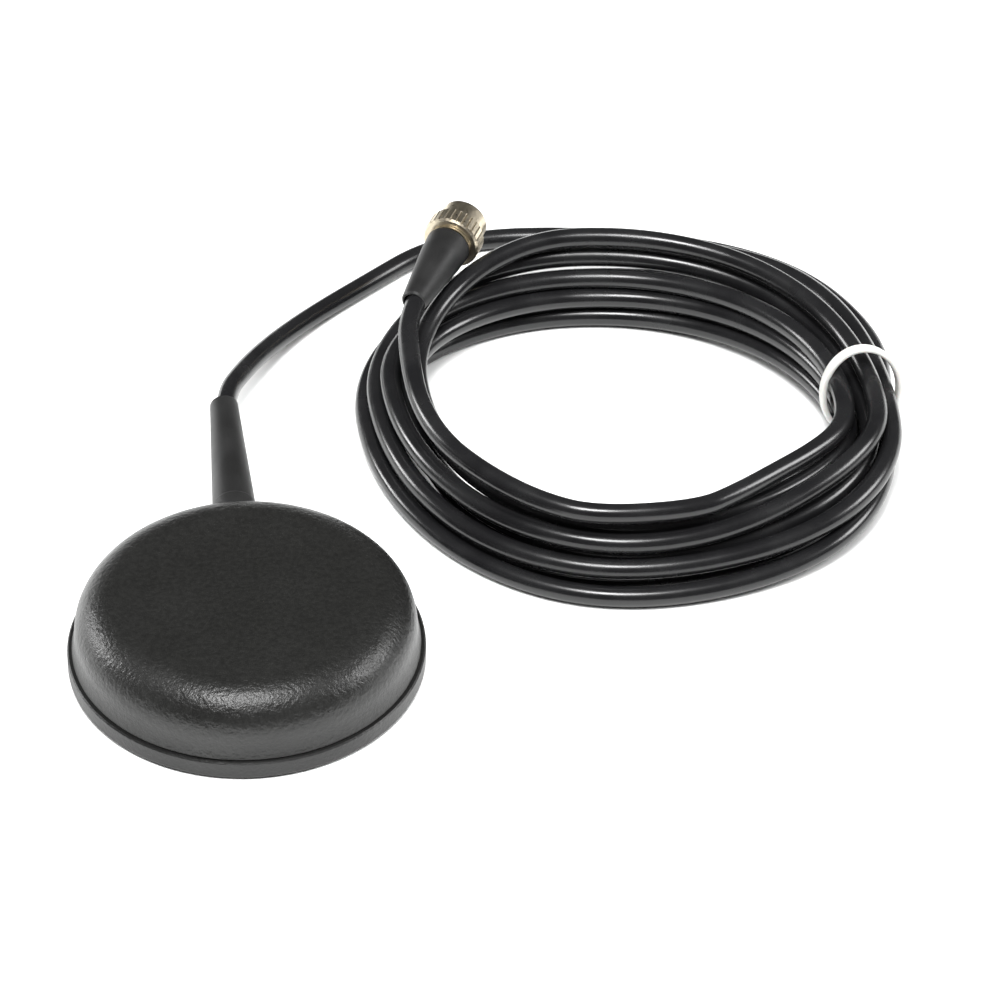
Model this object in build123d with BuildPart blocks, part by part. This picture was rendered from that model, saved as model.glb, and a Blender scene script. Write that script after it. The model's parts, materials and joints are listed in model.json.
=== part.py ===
from build123d import *
from math import cos, pi, sin, tan
import os

# A low round magnet-mount GNSS antenna on its coaxial cable, in millimetres.
# +Z is up, the origin is the middle of the underside, and the cable leaves towards +Y.

os.makedirs("parts", exist_ok=True)

# ---- driving dimensions: housing ----
BASE_RADIUS = 42.0          # lower shell, the widest part
CAP_RADIUS = 41.05          # upper shell where it meets the lower one
SEAM_Z = 5.0                # joint between the shells
TOP_Z = 21.06               # middle of the crowned top
CROWN = 1.06                # height of the crown above the shoulder corner
SHOULDER = 10.5             # outside radius of the shoulder
WALL = 2.2                  # shell thickness
FLARE_Z = 8.8               # the wall flares outwards below this height
FLARE_RADIUS = 40.2         # wall radius where the flare starts
CORNER_RADIUS = 39.8        # wall radius at the shoulder corner
SEAM_BEVEL = 0.35           # bevel each side of the seam
PAD_RADIUS = 38.0           # rubber foot
PAD_HEIGHT = 1.0
FOOT_GAP = 0.3              # the shell stands this far off the table
FLOOR_Z = 2.6               # inner face of the lower shell's floor

# ---- driving dimensions: inside ----
SPIGOT_RADIUS = 38.6        # locating rim inside the upper shell's wall
SPIGOT_INNER = 37.2
SPIGOT_Z = 7.4
MAGNET_RADIUS = 7.5
MAGNET_PITCH = 11.0         # magnets' distance from the middle
MAGNET_Z = (1.8, 4.3)
PLATE_RADIUS = 20.0         # steel plate over the magnets
PLATE_HEIGHT = 0.8
BOARD_Z = (8.5, 10.1)
BOARD_RADIUS = 29.5
POST_RADIUS = 25.0          # board posts' distance from the middle
BOSS_RADIUS = 33.5          # shell screws' distance from the middle
PATCH_SIDE = 25.0
PATCH_HEIGHT = 4.0
TAPE_HEIGHT = 0.4
FEED_OFFSET = 2.2           # feed pin's distance from the patch's middle

# ---- driving dimensions: cable ----
CORD = 4.95                 # jacket diameter
BORE = 5.0                  # bore of the pieces that the jacket passes through
EXIT_Z = 10.6               # cable axis above the table where it leaves the shell
RELIEF_TIP = 82.0           # Y of the strain relief's thin end
CORD_START = 70.0           # Y where the free cable's own solids start, inside the relief

# ---- driving dimensions: connector, along its own axis from the boot's thin end ----
BOOT_END = Vector(48.0, 101.2, 23.5)
CONNECTOR_TURN = 25.8       # degrees that the axis points to the right of +Y
BOOT_LENGTH = 24.6
NUT_RING = 7.25             # knurled ring's radius
NUT_SLEEVE = 6.0            # smooth sleeve's radius
NUT_START = 25.4
NUT_STEP = 30.4
NUT_FRONT = 35.6
THREAD_PITCH = 0.907        # 7/16-28 thread
THREAD_MINOR = 5.15
KNURLS = 30

# ---- free cable, point to point: from the strain relief, across the table, to the tie ----
LEAD = [
    (0.0, CORD_START, EXIT_Z),
    (-0.2, 85.0, 10.4),
    (6.4, 99.6, 7.8),
    (14.6, 113.2, 4.6),
    (25.6, 125.8, 2.6),
    (39.6, 137.0, 2.5),
    (54.0, 148.4, 2.5),
    (70.0, 152.2, 2.5),
    (87.0, 151.6, 2.5),
    (105.0, 148.8, 2.5),
    (122.0, 144.0, 2.5),
    (137.6, 136.6, 2.5),
    (150.0, 125.8, 2.7),
    (158.4, 110.8, 3.2),
    (162.6, 95.0, 4.2),
    (161.4, 79.0, 5.2),
]

# ---- cable from the coil's front, over its left side, into the connector ----
connector_axis = Vector(sin(CONNECTOR_TURN * pi / 180), cos(CONNECTOR_TURN * pi / 180), 0)
TAIL = [
    (84.0, 20.6, 19.9),
    (71.0, 27.0, 20.4),
    (60.0, 37.2, 20.8),
    (51.0, 49.4, 21.2),
    (46.2, 64.0, 21.8),
    (45.2, 80.5, 22.8),
    tuple(BOOT_END - connector_axis * 4),
    tuple(BOOT_END + connector_axis * 12),
]

# ---- coil's outer shape (low X, high X, low Y, high Y), at the table and at its top ----
COIL_TOP = 23.0
OUTER_FOOT = (32.0, 163.3, 7.6, 127.0)
OUTER_TOP = (37.0, 161.5, 15.0, 130.0)
INNER_FOOT = (48.0, 145.0, 24.0, 115.0)
INNER_TOP = (52.0, 144.0, 25.0, 120.0)
TIE_MIDDLE = Vector(154.6, 70.4, 12.2)
TIE_TURN = 10.0             # degrees that the bundle runs to the left of +Y at the tie
TIE_LEAN = 15.0             # degrees that the loop's top leans towards +Y
TIE_HALF_WIDTH = 10.4       # outer half axes of the oval loop
TIE_HALF_HEIGHT = 12.0
TIE_THICKNESS = 1.4
TIE_WIDTH = 3.2


def finish(piece, name):
    """Label a finished piece and write it to its own file."""
    piece.part.label = name
    export_step(piece.part, f"parts/{name}.step")


def turned(outline, plane=Plane.XZ, mode=Mode.ADD):
    """Revolve a closed outline of (radius, distance along the axis) about the plane's Y direction."""
    with BuildSketch(plane) as section:
        with BuildLine():
            Polyline(*outline, close=True)
        make_face()
    revolve(section.sketch, axis=Axis(plane.origin, plane.y_dir), mode=mode)


def axial_plane(origin, direction):
    """A plane whose Y direction runs along a level axis, for outlines that are revolved about it."""
    return Plane(origin=origin, x_dir=(0, 0, 1), z_dir=Vector(0, 0, 1).cross(Vector(direction)))


def shell_solid(foot, corner, foot_z, top_z, shoulder, flare_from=None):
    """Revolve the crowned, round-shouldered outline that the upper shell has outside and inside."""
    with BuildSketch(Plane.XZ) as section:
        with BuildLine():
            corner_at = (corner, top_z - CROWN)
            crown = corner**2 / (2 * CROWN)
            RadiusArc((0, top_z), corner_at, crown)
            if flare_from:
                Line(corner_at, flare_from)
                ThreePointArc(flare_from, ((flare_from[0] * 2 + foot) / 3, (flare_from[1] + foot_z) / 2),
                              (foot, foot_z))
            else:
                Line(corner_at, (foot, foot_z))
            Polyline((foot, foot_z), (0, foot_z), (0, top_z))
        make_face()
        fillet(section.vertices().sort_by_distance(corner_at)[0], shoulder)
    revolve(section.sketch, axis=Axis.Z)


# ======== housing ========

with BuildPart() as cap_outside:
    shell_solid(CAP_RADIUS, CORNER_RADIUS, SEAM_Z, TOP_Z, SHOULDER, (FLARE_RADIUS, FLARE_Z))
    chamfer(cap_outside.edges().group_by(Axis.Z)[0], SEAM_BEVEL)

screw_spots = PolarLocations(BOSS_RADIUS, 4, start_angle=45)
post_spots = PolarLocations(POST_RADIUS, 4, start_angle=45)

with BuildPart() as cap_hollow:
    shell_solid(CAP_RADIUS - WALL, CORNER_RADIUS - WALL, SEAM_Z, TOP_Z - WALL, SHOULDER - WALL)
    with screw_spots:
        Cylinder(3.0, 40, mode=Mode.SUBTRACT)

NECK = 3.8                  # radius of the strain relief's neck, and of the hole for it

with BuildPart() as radome:
    add(cap_outside.part)
    add(cap_hollow.part, mode=Mode.SUBTRACT)
    with BuildSketch(Plane.XY.offset(SEAM_Z)):
        with screw_spots:
            Circle(1.25)
    extrude(amount=8, mode=Mode.SUBTRACT)
    with BuildSketch(Plane(origin=(0, 30, EXIT_Z), z_dir=(0, 1, 0))):
        Circle(NECK)
    extrude(amount=15, mode=Mode.SUBTRACT)
finish(radome, "radome")

with BuildPart() as base_plate:
    turned([(0, PAD_HEIGHT), (PAD_RADIUS + 0.1, PAD_HEIGHT), (PAD_RADIUS + 0.1, FOOT_GAP),
            (BASE_RADIUS, FOOT_GAP), (BASE_RADIUS, SEAM_Z), (SPIGOT_RADIUS, SEAM_Z),
            (SPIGOT_RADIUS, SPIGOT_Z), (SPIGOT_INNER, SPIGOT_Z), (SPIGOT_INNER, FLOOR_Z), (0, FLOOR_Z)])
    rim = base_plate.edges().filter_by(GeomType.CIRCLE).filter_by(lambda e: abs(e.radius - BASE_RADIUS) < 0.01)
    fillet(rim.sort_by(Axis.Z)[0], 0.9)
    chamfer(rim.sort_by(Axis.Z)[-1], SEAM_BEVEL)
    with BuildSketch(Plane.XY.offset(FLOOR_Z)):
        Circle(PLATE_RADIUS + 1.5)
    extrude(amount=MAGNET_Z[1] - FLOOR_Z)
    with BuildSketch(Plane.XY.offset(FLOOR_Z)):
        with post_spots:
            Circle(2.2)
    extrude(amount=BOARD_Z[0] - FLOOR_Z)
    with BuildSketch(Plane.XY.offset(FLOOR_Z)):
        with screw_spots:
            Circle(3.0)
    extrude(amount=SEAM_Z - FLOOR_Z)
    with BuildSketch(Plane.XY.offset(MAGNET_Z[0])):
        with PolarLocations(MAGNET_PITCH, 3, start_angle=90):
            Circle(MAGNET_RADIUS)
    extrude(amount=5, mode=Mode.SUBTRACT)
    with BuildSketch(Plane.XY.offset(BOARD_Z[0])):
        with post_spots:
            Circle(0.8)
    extrude(amount=-4.5, mode=Mode.SUBTRACT)
    with BuildSketch(Plane.XY.offset(PAD_HEIGHT)):
        with screw_spots:
            Circle(1.25)
    extrude(amount=8, mode=Mode.SUBTRACT)
    with BuildSketch(Plane.XY.offset(PAD_HEIGHT)):
        with screw_spots:
            Circle(2.4)
    extrude(amount=1.6, mode=Mode.SUBTRACT)
    with BuildSketch(Plane(origin=(0, 30, EXIT_Z), z_dir=(0, 1, 0))):
        Circle(6.2)
    extrude(amount=10, mode=Mode.SUBTRACT)
    turned([(39.4, 4.1), (40.4, 4.1), (40.4, 5.5), (39.4, 5.5)], mode=Mode.SUBTRACT)
finish(base_plate, "base_plate")

with BuildPart() as perimeter_seal:
    turned([(39.4, 4.1), (40.4, 4.1), (40.4, SEAM_Z), (39.4, SEAM_Z)])
finish(perimeter_seal, "perimeter_seal")

with BuildPart() as base_pad:
    turned([(0, 0), (PAD_RADIUS - 0.3, 0), (PAD_RADIUS, 0.3), (PAD_RADIUS, PAD_HEIGHT), (0, PAD_HEIGHT)])
finish(base_pad, "base_pad")

with BuildPart() as magnets:
    with BuildSketch(Plane.XY.offset(MAGNET_Z[0])):
        with PolarLocations(MAGNET_PITCH, 3, start_angle=90):
            Circle(MAGNET_RADIUS)
    extrude(amount=MAGNET_Z[1] - MAGNET_Z[0])
finish(magnets, "magnets")

with BuildPart() as backing_plate:
    with BuildSketch(Plane.XY.offset(MAGNET_Z[1])):
        Circle(PLATE_RADIUS)
    extrude(amount=PLATE_HEIGHT)
    chamfer(backing_plate.edges().group_by(Axis.Z)[-1], 0.2)
finish(backing_plate, "backing_plate")

with BuildPart() as base_screws:
    with BuildSketch(Plane.XY.offset(PAD_HEIGHT)):
        with screw_spots:
            Circle(2.3)
    extrude(amount=1.6)
    with BuildSketch(Plane.XY.offset(PAD_HEIGHT)):
        with screw_spots:
            Circle(1.25)
    extrude(amount=10)
    with BuildSketch(Plane.XY.offset(PAD_HEIGHT)):
        with screw_spots:
            Rectangle(2.6, 0.6)
            Rectangle(0.6, 2.6)
    extrude(amount=0.8, mode=Mode.SUBTRACT)
finish(base_screws, "base_screws")

# ======== circuit board and what it carries ========

feed_spot = Location((FEED_OFFSET, 0))
FEED_RADIUS = 0.5

with BuildPart() as circuit_board:
    with BuildSketch(Plane.XY.offset(BOARD_Z[0])):
        Circle(BOARD_RADIUS)
        with post_spots:
            Circle(0.8, mode=Mode.SUBTRACT)
        with Locations(feed_spot):
            Circle(FEED_RADIUS, mode=Mode.SUBTRACT)
    extrude(amount=BOARD_Z[1] - BOARD_Z[0])
finish(circuit_board, "circuit_board")

with BuildPart() as board_screws:
    with BuildSketch(Plane.XY.offset(BOARD_Z[1])):
        with post_spots:
            Circle(1.7)
    extrude(amount=1.2)
    with BuildSketch(Plane.XY.offset(BOARD_Z[1])):
        with post_spots:
            Circle(0.8)
    extrude(amount=-5.5)
    with BuildSketch(Plane.XY.offset(BOARD_Z[1] + 1.2)):
        with post_spots:
            Rectangle(2.0, 0.45)
            Rectangle(0.45, 2.0)
    extrude(amount=-0.6, mode=Mode.SUBTRACT)
finish(board_screws, "board_screws")

CAN_SIDE = 22.0
CAN_Z = 5.4
SHEET = 0.3

with BuildPart() as shield_can:
    with BuildSketch(Plane.XY.offset(CAN_Z)):
        RectangleRounded(CAN_SIDE, CAN_SIDE, 1.0)
    extrude(amount=BOARD_Z[0] - CAN_Z)
    with BuildSketch(Plane.XY.offset(CAN_Z + SHEET)):
        RectangleRounded(CAN_SIDE - 2 * SHEET, CAN_SIDE - 2 * SHEET, 0.7)
    extrude(amount=BOARD_Z[0] - CAN_Z, mode=Mode.SUBTRACT)
finish(shield_can, "shield_can")

with BuildPart() as amplifier_chip:
    with BuildSketch(Plane.XY.offset(BOARD_Z[0])):
        with Locations((-3.5, 0)):
            Rectangle(3, 3)
    extrude(amount=-0.9)
finish(amplifier_chip, "amplifier_chip")

with BuildPart() as band_filters:
    with BuildSketch(Plane.XY.offset(BOARD_Z[0])):
        with Locations((-3.5, 6), (3.5, 6)):
            Rectangle(3.8, 3.8)
    extrude(amount=-1.2)
finish(band_filters, "band_filters")

with BuildPart() as chip_components:
    with BuildSketch(Plane.XY.offset(BOARD_Z[0])):
        with GridLocations(3.2, 2.4, 4, 2):
            with Locations((0, -6)):
                Rectangle(1.6, 0.8)
    extrude(amount=-0.8)
finish(chip_components, "chip_components")

tape_z = BOARD_Z[1]
patch_z = tape_z + TAPE_HEIGHT
electrode_z = patch_z + PATCH_HEIGHT

with BuildPart() as patch_tape:
    with BuildSketch(Plane.XY.offset(tape_z)):
        Rectangle(PATCH_SIDE - 2, PATCH_SIDE - 2)
        with Locations(feed_spot):
            Circle(1.5, mode=Mode.SUBTRACT)
    extrude(amount=TAPE_HEIGHT)
finish(patch_tape, "patch_tape")

with BuildPart() as patch_ceramic:
    with BuildSketch(Plane.XY.offset(patch_z)):
        RectangleRounded(PATCH_SIDE, PATCH_SIDE, 0.6)
        with Locations(feed_spot):
            Circle(0.7, mode=Mode.SUBTRACT)
    extrude(amount=PATCH_HEIGHT)
finish(patch_ceramic, "patch_ceramic")

with BuildPart() as patch_electrode:
    with BuildSketch(Plane.XY.offset(electrode_z)) as electrode_shape:
        Rectangle(PATCH_SIDE - 4, PATCH_SIDE - 4)
        chamfer(electrode_shape.vertices().group_by(Axis.X)[0].sort_by(Axis.Y)[0], 2.0)
        chamfer(electrode_shape.vertices().group_by(Axis.X)[-1].sort_by(Axis.Y)[-1], 2.0)
        with Locations(feed_spot):
            Circle(FEED_RADIUS, mode=Mode.SUBTRACT)
    extrude(amount=0.1)
finish(patch_electrode, "patch_electrode")

with BuildPart() as feed_pin:
    with BuildSketch(Plane.XY.offset(BOARD_Z[0] - 0.8)):
        with Locations(feed_spot):
            Circle(FEED_RADIUS)
    extrude(amount=electrode_z + 0.4 - BOARD_Z[0] + 0.8)
    with BuildSketch(Plane.XY.offset(electrode_z + 0.1)):
        with Locations(feed_spot):
            Circle(1.3)
    extrude(amount=0.35)
finish(feed_pin, "feed_pin")

# ======== cable entry ========

def along_exit(outline, mode=Mode.ADD):
    """Revolve an outline of (radius, Y) about the cable's axis where it leaves the housing."""
    turned(outline, axial_plane((0, 0, EXIT_Z), (0, 1, 0)), mode)


ROOT_RADIUS = 5.2
TIP_RADIUS = 3.45
FERRULE_Y = (31.0, 34.0)

with BuildPart() as strain_relief:
    along_exit([(BORE / 2, 30), (5.4, 30), (5.4, 42.6), (ROOT_RADIUS, 43.0), (TIP_RADIUS, RELIEF_TIP - 0.6),
                (TIP_RADIUS - 0.6, RELIEF_TIP), (BORE / 2, RELIEF_TIP)])
    add(cap_outside.part, mode=Mode.SUBTRACT)
    along_exit([(BORE / 2, 36.4), (NECK, 36.4), (NECK, 42), (BORE / 2, 42)])
    along_exit([(BORE / 2, 34.6), (5.6, 34.6), (5.6, 36.4), (BORE / 2, 36.4)])
finish(strain_relief, "strain_relief")

with BuildPart() as inner_ferrule:
    along_exit([(BORE / 2, FERRULE_Y[0]), (3.2, FERRULE_Y[0]), (3.2, FERRULE_Y[1]), (BORE / 2, FERRULE_Y[1])])
finish(inner_ferrule, "inner_ferrule")

with BuildPart() as cable_root:
    along_exit([(0, FERRULE_Y[0]), (CORD / 2, FERRULE_Y[0]), (CORD / 2, CORD_START), (0, CORD_START)])
finish(cable_root, "cable_root")

with BuildPart() as coax_dielectric:
    along_exit([(0, 30.0), (1.45, 30.0), (1.45, FERRULE_Y[0]), (0, FERRULE_Y[0])])
finish(coax_dielectric, "coax_dielectric")

with BuildPart() as coax_conductor:
    along_exit([(0, 26.0), (0.45, 26.0), (0.45, 30.0), (0, 30.0)])
finish(coax_conductor, "coax_conductor")

# ======== cable ========

def bend_radii(route):
    """Radius at each inner point: as large as the two runs beside it allow."""
    points = [Vector(*p) for p in route]
    radii = []
    for before, here, after in zip(points, points[1:], points[2:]):
        run_in, run_out = here - before, after - here
        half_turn = run_in.get_angle(run_out) / 2 * pi / 180
        radii.append(0.45 * min(run_in.length, run_out.length) / tan(half_turn))
    return radii


def tube(route):
    """Sweep the jacket along straight runs joined by tangent arcs, and return the path's length."""
    with BuildLine() as path:
        FilletPolyline(*route, radius=bend_radii(route))
    first_run = Vector(*route[1]) - Vector(*route[0])
    with BuildSketch(Plane(origin=route[0], z_dir=first_run)) as section:
        Circle(CORD / 2)
    sweep(section.sketch, path=path.wire())
    return path.wire().length


def ellipse_plate(limits, height):
    """Sketch an ellipse that fills the X and Y limits, at a height."""
    low_x, high_x, low_y, high_y = limits
    with BuildSketch(Plane(origin=((low_x + high_x) / 2, (low_y + high_y) / 2, height))) as plate:
        Ellipse((high_x - low_x) / 2, (high_y - low_y) / 2)
    return plate.sketch


with BuildPart() as cable_lead:
    lead_length = tube(LEAD)
finish(cable_lead, "cable_lead")

with BuildPart() as cable_tail:
    tail_length = tube(TAIL)
finish(cable_tail, "cable_tail")

tie_turn, tie_lean = TIE_TURN * pi / 180, TIE_LEAN * pi / 180
tie_plane = Plane(origin=TIE_MIDDLE, x_dir=(cos(tie_turn), sin(tie_turn), 0),
                  z_dir=(-sin(tie_turn) * cos(tie_lean), cos(tie_turn) * cos(tie_lean), -sin(tie_lean)))
TIE_HOLE = (TIE_HALF_WIDTH - TIE_THICKNESS, TIE_HALF_HEIGHT - TIE_THICKNESS)

with BuildPart() as coil_tie:
    with BuildSketch(tie_plane):
        Ellipse(TIE_HALF_WIDTH, TIE_HALF_HEIGHT)
        Ellipse(*TIE_HOLE, mode=Mode.SUBTRACT)
    extrude(amount=TIE_WIDTH / 2, both=True)
finish(coil_tie, "coil_tie")

with BuildPart() as cable_coil:
    loft([ellipse_plate(OUTER_FOOT, 0), ellipse_plate(OUTER_TOP, COIL_TOP)])
    loft([ellipse_plate(INNER_FOOT, 0), ellipse_plate(INNER_TOP, COIL_TOP)], mode=Mode.SUBTRACT)
    split(bisect_by=Plane(origin=(112, 0, COIL_TOP), z_dir=(7.5, 0, 50)), keep=Keep.BOTTOM)
    split(bisect_by=Plane(origin=(90, 0, COIL_TOP), z_dir=(-9.0, 0, 50)), keep=Keep.BOTTOM)
    with BuildSketch(tie_plane):
        Rectangle(30, 40)
        Ellipse(*TIE_HOLE, mode=Mode.SUBTRACT)
    extrude(amount=TIE_WIDTH / 2, both=True, mode=Mode.SUBTRACT)
finish(cable_coil, "cable_coil")

print("lead radii", [round(r) for r in bend_radii(LEAD)], "tail radii", [round(r) for r in bend_radii(TAIL)])
print("lengths: lead", round(lead_length), "tail", round(tail_length))
print("lead volume over section x length", round(cable_lead.part.volume / (lead_length * pi * CORD**2 / 4), 4))
print("tail volume over section x length", round(cable_tail.part.volume / (tail_length * pi * CORD**2 / 4), 4))

# ======== connector ========

def along_connector(outline, mode=Mode.ADD):
    """Revolve an outline of (radius, distance from the boot's thin end) about the connector's axis."""
    turned(outline, axial_plane(BOOT_END, connector_axis), mode)


JACKET_END = 12.0           # the jacket stops here, inside the boot
FERRULE = (10.0, 24.0)
FLANGE = (24.8, 25.3)
JOURNAL = 4.6
CONTACT_SLEEVE = 4.05
SLEEVE_BORE = 3.4
INSULATOR = (25.8, 31.0)
PIN_START = 24.0
RING_GROOVE = (28.0, 28.8)
CAVITY = 30.4               # start of the nut's threaded hollow

with BuildPart() as connector_boot:
    along_connector([(BORE / 2, 0), (2.9, 0), (3.2, 0.6), (3.6, 4.0), (5.3, 19.0), (5.6, BOOT_LENGTH - 0.6),
                     (5.0, BOOT_LENGTH), (3.3, BOOT_LENGTH), (3.3, 9.6), (BORE / 2, 9.6)])
finish(connector_boot, "connector_boot")

with BuildPart() as crimp_ferrule:
    along_connector([(BORE / 2, FERRULE[0]), (3.3, FERRULE[0]), (3.3, FERRULE[1]), (BORE / 2, FERRULE[1])])
finish(crimp_ferrule, "crimp_ferrule")

with BuildPart() as connector_body:
    along_connector([(1.6, 14.0), (BORE / 2, 14.0), (BORE / 2, FLANGE[0]), (5.3, FLANGE[0]), (5.3, FLANGE[1]),
                     (JOURNAL, FLANGE[1]), (JOURNAL, RING_GROOVE[0]), (4.0, RING_GROOVE[0]),
                     (4.0, RING_GROOVE[1]), (JOURNAL, RING_GROOVE[1]), (JOURNAL, 30.0),
                     (CONTACT_SLEEVE, 30.0), (CONTACT_SLEEVE, 34.4), (3.8, 34.7), (SLEEVE_BORE, 34.7),
                     (SLEEVE_BORE, INSULATOR[0]), (1.6, INSULATOR[0])])
finish(connector_body, "connector_body")

with BuildPart() as connector_insulator:
    along_connector([(0.7, INSULATOR[0]), (SLEEVE_BORE, INSULATOR[0]), (SLEEVE_BORE, INSULATOR[1]),
                     (0.7, INSULATOR[1])])
finish(connector_insulator, "connector_insulator")

with BuildPart() as plug_dielectric:
    along_connector([(0, JACKET_END), (1.45, JACKET_END), (1.45, PIN_START), (0, PIN_START)])
finish(plug_dielectric, "plug_dielectric")

with BuildPart() as contact_pin:
    along_connector([(0, PIN_START), (0.7, PIN_START), (0.7, 33.0), (0.3, 33.8), (0, 33.8)])
finish(contact_pin, "contact_pin")

with BuildPart() as connector_gasket:
    along_connector([(CONTACT_SLEEVE, 30.5), (5.0, 30.5), (5.0, 31.3), (CONTACT_SLEEVE, 31.3)])
finish(connector_gasket, "connector_gasket")

with BuildPart() as snap_ring:
    along_connector([(4.0, 28.1), (5.1, 28.1), (5.1, 28.7), (4.0, 28.7)])
    with BuildSketch(Plane(origin=BOOT_END + connector_axis * 28.0, x_dir=(0, 0, 1), z_dir=connector_axis)):
        with Locations((4.6, 0)):
            Rectangle(2.4, 1.8)
    extrude(amount=1.0, mode=Mode.SUBTRACT)
finish(snap_ring, "snap_ring")

thread = []
for groove in range(4):
    start = 31.7 + groove * THREAD_PITCH
    thread += [(THREAD_MINOR, start), (THREAD_MINOR + 0.35, start + 0.4)]

with BuildPart() as coupling_nut:
    along_connector([(JOURNAL + 0.08, NUT_START), (NUT_RING - 0.5, NUT_START), (NUT_RING, NUT_START + 0.5),
                     (NUT_RING, NUT_STEP - 0.5), (NUT_RING - 0.5, NUT_STEP), (NUT_SLEEVE, NUT_STEP),
                     (NUT_SLEEVE, NUT_FRONT - 0.4), (NUT_SLEEVE - 0.4, NUT_FRONT),
                     (THREAD_MINOR + 0.3, NUT_FRONT)] + thread[::-1]
                    + [(THREAD_MINOR, CAVITY), (JOURNAL + 0.08, CAVITY), (JOURNAL + 0.08, 28.9),
                       (5.2, 28.9), (5.2, 27.9), (JOURNAL + 0.08, 27.9)])
    with BuildSketch(Plane(origin=BOOT_END + connector_axis * NUT_START, x_dir=(0, 0, 1), z_dir=connector_axis)):
        with PolarLocations(NUT_RING + 0.25, KNURLS):
            Rectangle(0.7, 0.7, rotation=45)
    extrude(amount=NUT_STEP - NUT_START, mode=Mode.SUBTRACT)
finish(coupling_nut, "coupling_nut")
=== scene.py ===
import bmesh
import bpy
import json
import numpy as np
from math import cos, pi, radians, sin
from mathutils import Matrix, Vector


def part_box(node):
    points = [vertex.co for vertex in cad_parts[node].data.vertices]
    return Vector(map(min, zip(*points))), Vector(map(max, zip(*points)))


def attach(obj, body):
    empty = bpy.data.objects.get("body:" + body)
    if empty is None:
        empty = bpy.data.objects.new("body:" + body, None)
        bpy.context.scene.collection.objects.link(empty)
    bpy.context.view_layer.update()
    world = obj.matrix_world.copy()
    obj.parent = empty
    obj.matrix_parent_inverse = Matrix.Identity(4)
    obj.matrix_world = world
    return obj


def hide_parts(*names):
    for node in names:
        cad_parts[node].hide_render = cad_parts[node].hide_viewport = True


# The looks of a low round GNSS antenna on its tied coil of coaxial cable, in metres, in the row frame:
# +Z up, the origin under the middle of the housing, and the cable leaving the housing towards +Y.

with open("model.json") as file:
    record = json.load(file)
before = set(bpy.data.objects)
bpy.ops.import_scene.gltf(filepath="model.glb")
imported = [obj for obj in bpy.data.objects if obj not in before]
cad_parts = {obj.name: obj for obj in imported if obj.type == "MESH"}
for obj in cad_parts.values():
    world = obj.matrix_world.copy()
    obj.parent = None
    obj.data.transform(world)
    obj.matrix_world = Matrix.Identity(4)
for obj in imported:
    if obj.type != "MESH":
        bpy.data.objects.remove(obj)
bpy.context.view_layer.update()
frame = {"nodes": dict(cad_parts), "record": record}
nodes = frame["nodes"]

CORD = 0.00495                      # diameter of the cable's jacket
CONNECTOR_TURN = radians(25.8)      # the connector points this far to the right of +Y
BOOT_END = Vector((0.0480, 0.1012, 0.0235))
connector_axis = Vector((sin(CONNECTOR_TURN), cos(CONNECTOR_TURN), 0))

# ---- cable route: from the strain relief to the coil ----
LEAD = [
    (0.0, 0.0700, 0.0106),
    (-0.0002, 0.0850, 0.0104),
    (0.0064, 0.0996, 0.0078),
    (0.0146, 0.1132, 0.0046),
    (0.0256, 0.1258, 0.0026),
    (0.0396, 0.1370, 0.0025),
    (0.0540, 0.1484, 0.0025),
    (0.0700, 0.1522, 0.0025),
    (0.0870, 0.1516, 0.0025),
    (0.1050, 0.1488, 0.0025),
    (0.1220, 0.1440, 0.0025),
    (0.1376, 0.1366, 0.0025),
    (0.1500, 0.1258, 0.0027),
    (0.1584, 0.1108, 0.0032),
    (0.1626, 0.0950, 0.0042),
    (0.1614, 0.0790, 0.0052),
]

# ---- coil: where each turn passes its rightmost, front, leftmost and back points, in cord order ----
RIGHT_Y, FRONT_X, LEFT_Y, BACK_X = 0.060, 0.096, 0.084, 0.090
COIL_RIGHT = [(0.1590, 0.0060), (0.1562, 0.0040), (0.1504, 0.0062), (0.1608, 0.0112),
              (0.1558, 0.0097), (0.1500, 0.0112), (0.1574, 0.0154), (0.1497, 0.0160)]
COIL_FRONT = [(0.0100, 0.0025), (0.0166, 0.0025), (0.0218, 0.0025), (0.0144, 0.0070),
              (0.0196, 0.0072), (0.0226, 0.0130), (0.0183, 0.0114), (0.0188, 0.0195)]
COIL_LEFT = [(0.0344, 0.0025), (0.0404, 0.0025), (0.0454, 0.0025), (0.0380, 0.0070),
             (0.0432, 0.0070), (0.0460, 0.0112), (0.0410, 0.0112)]
COIL_BACK = [(0.1340, 0.0025), (0.1182, 0.0025), (0.1390, 0.0064), (0.1244, 0.0160),
             (0.1198, 0.0064), (0.1262, 0.0205), (0.1218, 0.0108)]
QUARTER_STEPS = 6                   # points in each quarter turn
# How far each turn's four quarters bulge out from a plain ellipse, or inwards, as a share of its half axes.
QUARTER_BULGES = [(0.025, 0, 0.012, 0.053), (0.012, 0.020, -0.012, 0), (0.012, 0.010, 0, 0.062),
                  (0.020, 0.010, 0.012, 0.035), (0, 0, 0, 0), (-0.034, 0, 0, 0.022), (-0.040, 0, 0.012, 0),
                  (-0.095,)]
SETTLE_ROUNDS = 150                 # passes that push the strands apart
STRAND_GAP = 4                      # runs along the cable before two places count as different strands
SPREAD = 0.12                       # share of a push that passes to the neighbouring points each round
TABLE_GAP = 0.00002                 # the lowest strands stand this far off the table
PLUG_PLACES = [0.0, 0.004, 0.019, 0.025, 0.0305, 0.036]   # distances from the boot's thin end
PLUG_REACH = [0.0030, 0.0037, 0.0053, 0.0073, 0.0073, 0.0061]       # the plug's radius there
FINE_STEPS = 5                      # places compared in each run while the turns settle

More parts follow.
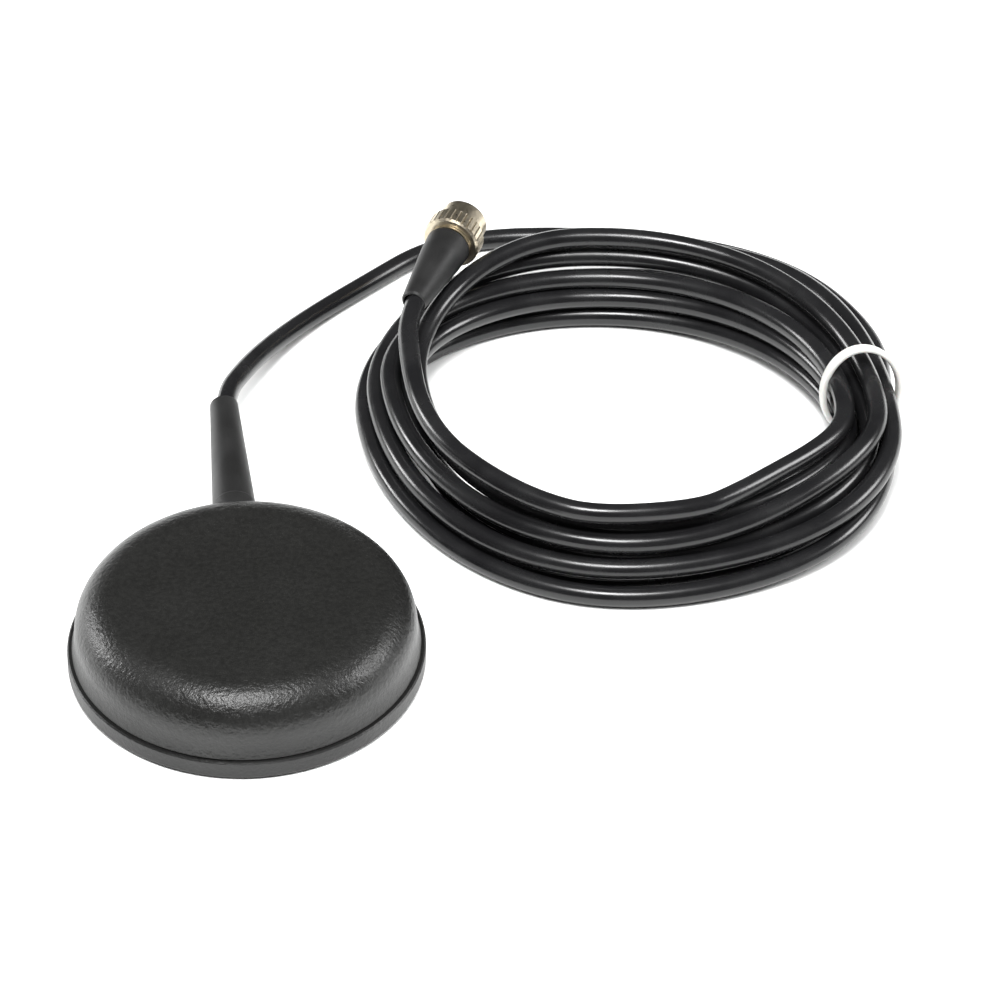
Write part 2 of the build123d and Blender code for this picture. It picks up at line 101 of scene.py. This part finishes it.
# ---- cable route: from the coil's front, over its left side, into the connector ----
TAIL = [
    (0.0840, 0.0206, 0.0199),
    (0.0710, 0.0270, 0.0204),
    (0.0600, 0.0372, 0.0208),
    (0.0510, 0.0494, 0.0212),
    (0.0462, 0.0640, 0.0218),
    (0.0452, 0.0805, 0.0228),
    tuple(BOOT_END - connector_axis * 0.004),
    tuple(BOOT_END + connector_axis * 0.012),
]


# ======== camera ========

VIEW_TARGET = Vector((0.06460, 0.05229, 0.0))
VIEW_DISTANCE = 1.5615
VIEW_ELEVATION = radians(39.949)
VIEW_TURN = radians(5.5)            # the camera looks this far to the right of +Y


def make_camera():
    data = bpy.data.cameras.new("camera")
    data.sensor_width = 36
    data.lens = 232.85
    camera = bpy.data.objects.new("camera", data)
    level = Vector((sin(VIEW_TURN), cos(VIEW_TURN), 0)) * cos(VIEW_ELEVATION)
    camera.location = VIEW_TARGET - (level - Vector((0, 0, sin(VIEW_ELEVATION)))) * VIEW_DISTANCE
    camera.rotation_euler = (pi / 2 - VIEW_ELEVATION, 0, -VIEW_TURN)
    bpy.context.scene.collection.objects.link(camera)
    bpy.context.scene.camera = camera


# ======== cable ========

def coil_turns():
    """Points along the coil, clockwise from above: a quarter ellipse from each side's point to the next."""
    stations = []
    for turn in range(len(COIL_RIGHT)):
        stations.append((COIL_RIGHT[turn][0], RIGHT_Y, COIL_RIGHT[turn][1]))
        stations.append((FRONT_X, *COIL_FRONT[turn]))
        if turn < len(COIL_LEFT):
            stations.append((COIL_LEFT[turn][0], LEFT_Y, COIL_LEFT[turn][1]))
            stations.append((BACK_X, *COIL_BACK[turn]))
    points = []
    for number, (start, end) in enumerate(zip(stations, stations[1:])):
        middle_x, middle_y = (end[0], start[1]) if number % 2 == 0 else (start[0], end[1])
        bulge = QUARTER_BULGES[number // 4][number % 4]
        for step in range(QUARTER_STEPS):
            angle = step / QUARTER_STEPS * pi / 2
            outward = bulge * sin(2 * angle) ** 2
            from_start, from_end = cos(angle) + outward, sin(angle) + outward
            points.append((middle_x + (start[0] - middle_x) * from_start + (end[0] - middle_x) * from_end,
                           middle_y + (start[1] - middle_y) * from_start + (end[1] - middle_y) * from_end,
                           start[2] + (end[2] - start[2]) * sin(angle) ** 2))
    return points


def settled(route, first, last):
    """Push the coil's strands off each other and off the connector, and keep them on the table.

    Only the points from first to last move. The pushes are spread along the cable, so it stays smooth.
    """
    line = np.array(route)
    places = np.arange(0, len(line) - 1, 1 / FINE_STEPS)
    start = places.astype(int)
    blend = np.zeros((len(places), len(line)))
    blend[np.arange(len(places)), start] = 1 - (places - start)
    blend[np.arange(len(places)), start + 1] = places - start
    separate = np.abs(places[:, None] - places[None]) > STRAND_GAP
    axis = np.array(connector_axis)
    shift = np.zeros_like(line)
    for _ in range(SETTLE_ROUNDS):
        fine = blend @ (line + shift)
        apart = fine[:, None] - fine[None]
        distance = np.linalg.norm(apart, axis=2) + 1e-9
        overlap = np.where(separate, np.maximum(CORD - distance, 0), 0)
        push = (apart * (overlap / distance)[..., None]).sum(axis=1)

        from_end = fine - np.array(BOOT_END)
        along = from_end @ axis
        aside = from_end - along[:, None] * axis
        distance = np.linalg.norm(aside, axis=1) + 1e-9
        overlap = np.maximum(np.interp(along, PLUG_PLACES, PLUG_REACH) + CORD / 2 - distance, 0)
        beside_plug = (along > 0) & (along < PLUG_PLACES[-1])
        push += aside * (np.where(beside_plug, overlap, 0) / distance)[:, None]

        move = blend.T @ push / FINE_STEPS
        shift[first:last] += move[first:last]
        shift[1:-1] += SPREAD * (shift[:-2] + shift[2:] - 2 * shift[1:-1])
        shift[:first] = 0
        shift[last:] = 0
        shift[:, 2] = np.maximum(shift[:, 2], CORD / 2 + TABLE_GAP - line[:, 2])
    return [tuple(point) for point in line + shift]


def make_cable():
    turns = coil_turns()
    route = settled(LEAD + turns + TAIL, len(LEAD), len(LEAD + turns))
    data = bpy.data.curves.new("coax_cable", "CURVE")
    data.dimensions = "3D"
    spline = data.splines.new("NURBS")
    spline.points.add(len(route) - 1)
    for point, place in zip(spline.points, route):
        point.co = (*place, 1)
    spline.order_u = 3
    spline.use_endpoint_u = True
    spline.resolution_u = 10
    spline.use_smooth = True
    data.bevel_depth = CORD / 2
    data.bevel_resolution = 7
    data.use_fill_caps = True
    cable = bpy.data.objects.new("coax_cable", data)
    bpy.context.scene.collection.objects.link(cable)
    return cable


# ======== materials ========

def shader_material(name, colour, roughness, **sockets):
    """A material whose constant values are set on the shader's own sockets."""
    material = bpy.data.materials.new(name)
    material.use_nodes = True
    shader = material.node_tree.nodes["Principled BSDF"]
    shader.inputs["Base Color"].default_value = (*colour, 1)
    shader.inputs["Roughness"].default_value = roughness
    for socket, value in sockets.items():
        shader.inputs[socket.replace("_", " ")].default_value = value
    return material


def noise(material, scale, detail=2.0, roughness=0.5):
    """Noise over the object's own coordinates, with scale in waves per metre."""
    tree = material.node_tree
    place = tree.nodes.new("ShaderNodeTexCoord")
    texture = tree.nodes.new("ShaderNodeTexNoise")
    texture.inputs["Scale"].default_value = scale
    texture.inputs["Detail"].default_value = detail
    texture.inputs["Roughness"].default_value = roughness
    tree.links.new(place.outputs["Object"], texture.inputs["Vector"])
    return texture.outputs["Fac"]


def ranged(material, source, low, high, start=0.0, end=1.0):
    """Spread a value between start and end over low to high."""
    node = material.node_tree.nodes.new("ShaderNodeMapRange")
    for socket, value in zip(("From Min", "From Max", "To Min", "To Max"), (start, end, low, high)):
        node.inputs[socket].default_value = value
    material.node_tree.links.new(source, node.inputs["Value"])
    return node.outputs["Result"]


def shade(material, source, low, high, start=0.35, end=0.65):
    """Drive the base colour from low to high by a value."""
    tree = material.node_tree
    mix = tree.nodes.new("ShaderNodeMix")
    mix.data_type = "RGBA"
    mix.inputs["A"].default_value = (*low, 1)
    mix.inputs["B"].default_value = (*high, 1)
    tree.links.new(ranged(material, source, 0, 1, start, end), mix.inputs["Factor"])
    tree.links.new(mix.outputs["Result"], tree.nodes["Principled BSDF"].inputs["Base Color"])


def roughen(material, source, low, high, start=0.3, end=0.7):
    """Drive the roughness from low to high by a value."""
    tree = material.node_tree
    tree.links.new(ranged(material, source, low, high, start, end),
                   tree.nodes["Principled BSDF"].inputs["Roughness"])


def bump(material, source, distance, strength=1.0):
    """Raise the surface by a value; a second call adds its relief to the first."""
    tree = material.node_tree
    normal = tree.nodes["Principled BSDF"].inputs["Normal"]
    node = tree.nodes.new("ShaderNodeBump")
    node.inputs["Distance"].default_value = distance
    node.inputs["Strength"].default_value = strength
    tree.links.new(source, node.inputs["Height"])
    if normal.is_linked:
        tree.links.new(normal.links[0].from_socket, node.inputs["Normal"])
    tree.links.new(node.outputs["Normal"], normal)


def moulded_plastic(name, colour, roughness, grain, depth):
    """Black plastic from a spark-eroded mould: a fine even grain, with faint handling marks."""
    material = shader_material(name, colour, roughness)
    fine = noise(material, grain, 3, 0.6)
    broad = noise(material, 60, 3)
    shade(material, fine, [c * 0.8 for c in colour], [c * 1.25 for c in colour])
    roughen(material, broad, roughness - 0.05, roughness + 0.06)
    bump(material, fine, depth)
    return material


def jacket_plastic():
    """Semi-gloss PVC cable jacket, with the slight ripple of an extruded skin."""
    material = shader_material("jacket", (0.007, 0.007, 0.0075), 0.3)
    broad = noise(material, 90, 3)
    fine = noise(material, 2600, 2)
    shade(material, broad, (0.006, 0.006, 0.0065), (0.009, 0.009, 0.0095))
    roughen(material, broad, 0.2, 0.3)
    bump(material, fine, 0.00001, 0.5)
    bump(material, broad, 0.00012, 0.6)
    return material


def rubber(name, colour, roughness):
    """Matt moulded rubber, a little uneven in shade."""
    material = shader_material(name, colour, roughness)
    fine = noise(material, 2400, 3, 0.6)
    broad = noise(material, 120, 2)
    shade(material, broad, [c * 0.8 for c in colour], [c * 1.3 for c in colour])
    roughen(material, broad, roughness - 0.06, roughness + 0.06)
    bump(material, fine, 0.00003)
    return material


def metal(name, colour, roughness, grain=900):
    """Plated or rolled metal, with a slightly uneven finish."""
    material = shader_material(name, colour, roughness, Metallic=1.0)
    fine = noise(material, grain, 3)
    broad = noise(material, 200, 2)
    shade(material, broad, [c * 0.82 for c in colour], [min(c * 1.08, 1) for c in colour])
    roughen(material, fine, max(roughness - 0.07, 0.05), roughness + 0.1)
    bump(material, fine, 0.000004, 0.6)
    return material


def plain_mineral(name, colour, roughness, grain=1500):
    """Ceramic, foam, plastic film and other fine even solids."""
    material = shader_material(name, colour, roughness)
    fine = noise(material, grain, 3)
    shade(material, fine, [c * 0.9 for c in colour], [min(c * 1.08, 1) for c in colour])
    roughen(material, fine, roughness - 0.05, roughness + 0.05)
    bump(material, fine, 0.00001)
    return material


def tie_plastic():
    """Off-white moulded plastic that lets a little light in."""
    material = shader_material("tie_plastic", (0.55, 0.55, 0.53), 0.42, Subsurface_Weight=0.1,
                               Subsurface_Scale=0.002)
    fine = noise(material, 1800, 3)
    broad = noise(material, 220, 2)
    shade(material, broad, (0.50, 0.50, 0.475), (0.60, 0.60, 0.58))
    roughen(material, fine, 0.36, 0.5)
    bump(material, broad, 0.0001, 0.6)
    bump(material, fine, 0.00001)
    return material


MATERIALS = {
    "cap_plastic": moulded_plastic("cap_plastic", (0.008, 0.008, 0.0075), 0.34, 900, 0.00022),
    "base_plastic": moulded_plastic("base_plastic", (0.005, 0.005, 0.0048), 0.42, 1000, 0.00014),
    "pad_rubber": rubber("pad_rubber", (0.012, 0.012, 0.012), 0.75),
    "seal_rubber": rubber("seal_rubber", (0.014, 0.014, 0.014), 0.6),
    "magnet_metal": metal("magnet_metal", (0.66, 0.65, 0.62), 0.22),
    "steel_sheet": metal("steel_sheet", (0.52, 0.52, 0.53), 0.35, 1500),
    "screw_steel": metal("screw_steel", (0.45, 0.45, 0.46), 0.3),
    "board": plain_mineral("board", (0.01, 0.09, 0.035), 0.3, 700),
    "tinplate": metal("tinplate", (0.62, 0.62, 0.6), 0.3, 1200),
    "chip_plastic": plain_mineral("chip_plastic", (0.015, 0.015, 0.016), 0.55, 3000),
    "chip_ceramic": plain_mineral("chip_ceramic", (0.3, 0.21, 0.12), 0.5),
    "tape": plain_mineral("tape", (0.62, 0.62, 0.58), 0.8),
    "patch_ceramic": plain_mineral("patch_ceramic", (0.42, 0.35, 0.26), 0.65),
    "silver": metal("silver", (0.76, 0.76, 0.73), 0.42, 1500),
    "relief_rubber": rubber("relief_rubber", (0.008, 0.008, 0.008), 0.5),
    "ferrule": metal("ferrule", (0.6, 0.5, 0.34), 0.3),
    "jacket": jacket_plastic(),
    "dielectric": plain_mineral("dielectric", (0.75, 0.75, 0.71), 0.4),
    "copper": metal("copper", (0.72, 0.4, 0.26), 0.3),
    "tie_plastic": tie_plastic(),
    "boot_rubber": rubber("boot_rubber", (0.007, 0.007, 0.007), 0.5),
    "connector_nickel": metal("connector_nickel", (0.70, 0.62, 0.48), 0.34, 1600),
    "ptfe": plain_mineral("ptfe", (0.82, 0.82, 0.8), 0.45),
    "gold": metal("gold", (0.86, 0.62, 0.26), 0.2),
    "gasket": rubber("gasket", (0.28, 0.03, 0.02), 0.5),
}


def dress_frame():
    """Give each CAD node the material of its own slot in the record."""
    for subpart in frame["record"]["subparts"]:
        slots = nodes[subpart["node"]].data.materials
        slots.clear()
        slots.append(MATERIALS[subpart["material_slot"]])


# ======== tie ========

TIE_TURN = radians(10)              # the bundle runs this far to the left of +Y at the tie
TIE_LEAN = radians(15)              # the loop's top leans back this far
TIE_OUTER = (0.0104, 0.0120)        # outer half axes of the oval, level and up
TIE_THICKNESS, TIE_WIDTH = 0.0014, 0.0032
TIE_STEPS, TIE_SIDES = 120, 16      # faces round the loop, and round its section


def squared(value, power):
    """A sine or cosine moved towards 1 or -1, which squares an ellipse into a rounded rectangle."""
    return abs(value) ** power * (1 if value > 0 else -1)


def make_tie():
    """A flat moulded loop with rounded edges, as wide and thick as the CAD ring that it replaces."""
    low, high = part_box("coil_tie")
    middle = (low + high) / 2
    level = Vector((cos(TIE_TURN), sin(TIE_TURN), 0))
    through = Vector((-sin(TIE_TURN) * cos(TIE_LEAN), cos(TIE_TURN) * cos(TIE_LEAN), -sin(TIE_LEAN)))
    raised = level.cross(through)
    half_level, half_raised = (half - TIE_THICKNESS / 2 for half in TIE_OUTER)
    mesh = bmesh.new()
    rings = []
    for step in range(TIE_STEPS):
        angle = step / TIE_STEPS * 2 * pi
        spot = middle + level * half_level * cos(angle) + raised * half_raised * sin(angle)
        outward = (level * half_raised * cos(angle) + raised * half_level * sin(angle)).normalized()
        ring = []
        for side in range(TIE_SIDES):
            round_angle = side / TIE_SIDES * 2 * pi
            across = squared(cos(round_angle), 0.45) * TIE_WIDTH / 2
            deep = squared(sin(round_angle), 0.7) * TIE_THICKNESS / 2
            ring.append(mesh.verts.new(spot + outward * deep + through * across))
        rings.append(ring)
    for ring, following in zip(rings, rings[1:] + rings[:1]):
        for side in range(TIE_SIDES):
            after = (side + 1) % TIE_SIDES
            mesh.faces.new((ring[side], ring[after], following[after], following[side]))
    bmesh.ops.recalc_face_normals(mesh, faces=mesh.faces)
    return mesh_object("tie_loop", mesh)


def mesh_object(name, mesh):
    data = bpy.data.meshes.new(name)
    mesh.to_mesh(data)
    mesh.free()
    data.shade_smooth()
    made = bpy.data.objects.new(name, data)
    bpy.context.scene.collection.objects.link(made)
    return made


# ======== studio ========

def make_floor():
    mesh = bmesh.new()
    bmesh.ops.create_grid(mesh, x_segments=1, y_segments=1, size=6)
    floor = mesh_object("floor", mesh)
    material = shader_material("floor_paper", (0.86, 0.865, 0.86), 0.9)
    fine = noise(material, 400, 3)
    shade(material, fine, (0.855, 0.86, 0.855), (0.865, 0.87, 0.865))
    floor.data.materials.append(material)


def soft_light(name, place, size, power, glossy=True):
    """A square softbox that faces the coil's middle; glossy is whether it shows in reflections."""
    data = bpy.data.lights.new(name, "AREA")
    data.shape = "SQUARE"
    data.size = size
    data.energy = power
    light = bpy.data.objects.new(name, data)
    light.location = place
    light.rotation_euler = (Vector(place) - VIEW_TARGET).to_track_quat("Z", "Y").to_euler()
    light.visible_glossy = glossy
    bpy.context.scene.collection.objects.link(light)


def make_studio():
    world = bpy.data.worlds.new("studio")
    world.use_nodes = True
    background = world.node_tree.nodes["Background"]
    background.inputs["Color"].default_value = (1, 1, 1, 1)
    background.inputs["Strength"].default_value = 0.08
    bpy.context.scene.world = world
    bpy.context.scene.view_settings.view_transform = "Standard"
    soft_light("overhead", (0.05, 0.0, 1.6), 2.4, 62, glossy=False)
    soft_light("front_top", (-0.1, -0.45, 1.45), 0.45, 24)
    soft_light("left_back", (-1.25, 0.75, 0.5), 0.4, 11)
    soft_light("right_side", (1.3, 0.0, 0.75), 0.5, 12)
    make_floor()


# ======== assembly ========

make_camera()
dress_frame()

cable = make_cable()
cable.data.materials.append(MATERIALS["jacket"])
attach(cable, "antenna")
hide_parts("cable_lead", "cable_coil", "cable_tail")

tie = make_tie()
tie.data.materials.append(MATERIALS["tie_plastic"])
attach(tie, "antenna")
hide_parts("coil_tie")

make_studio()
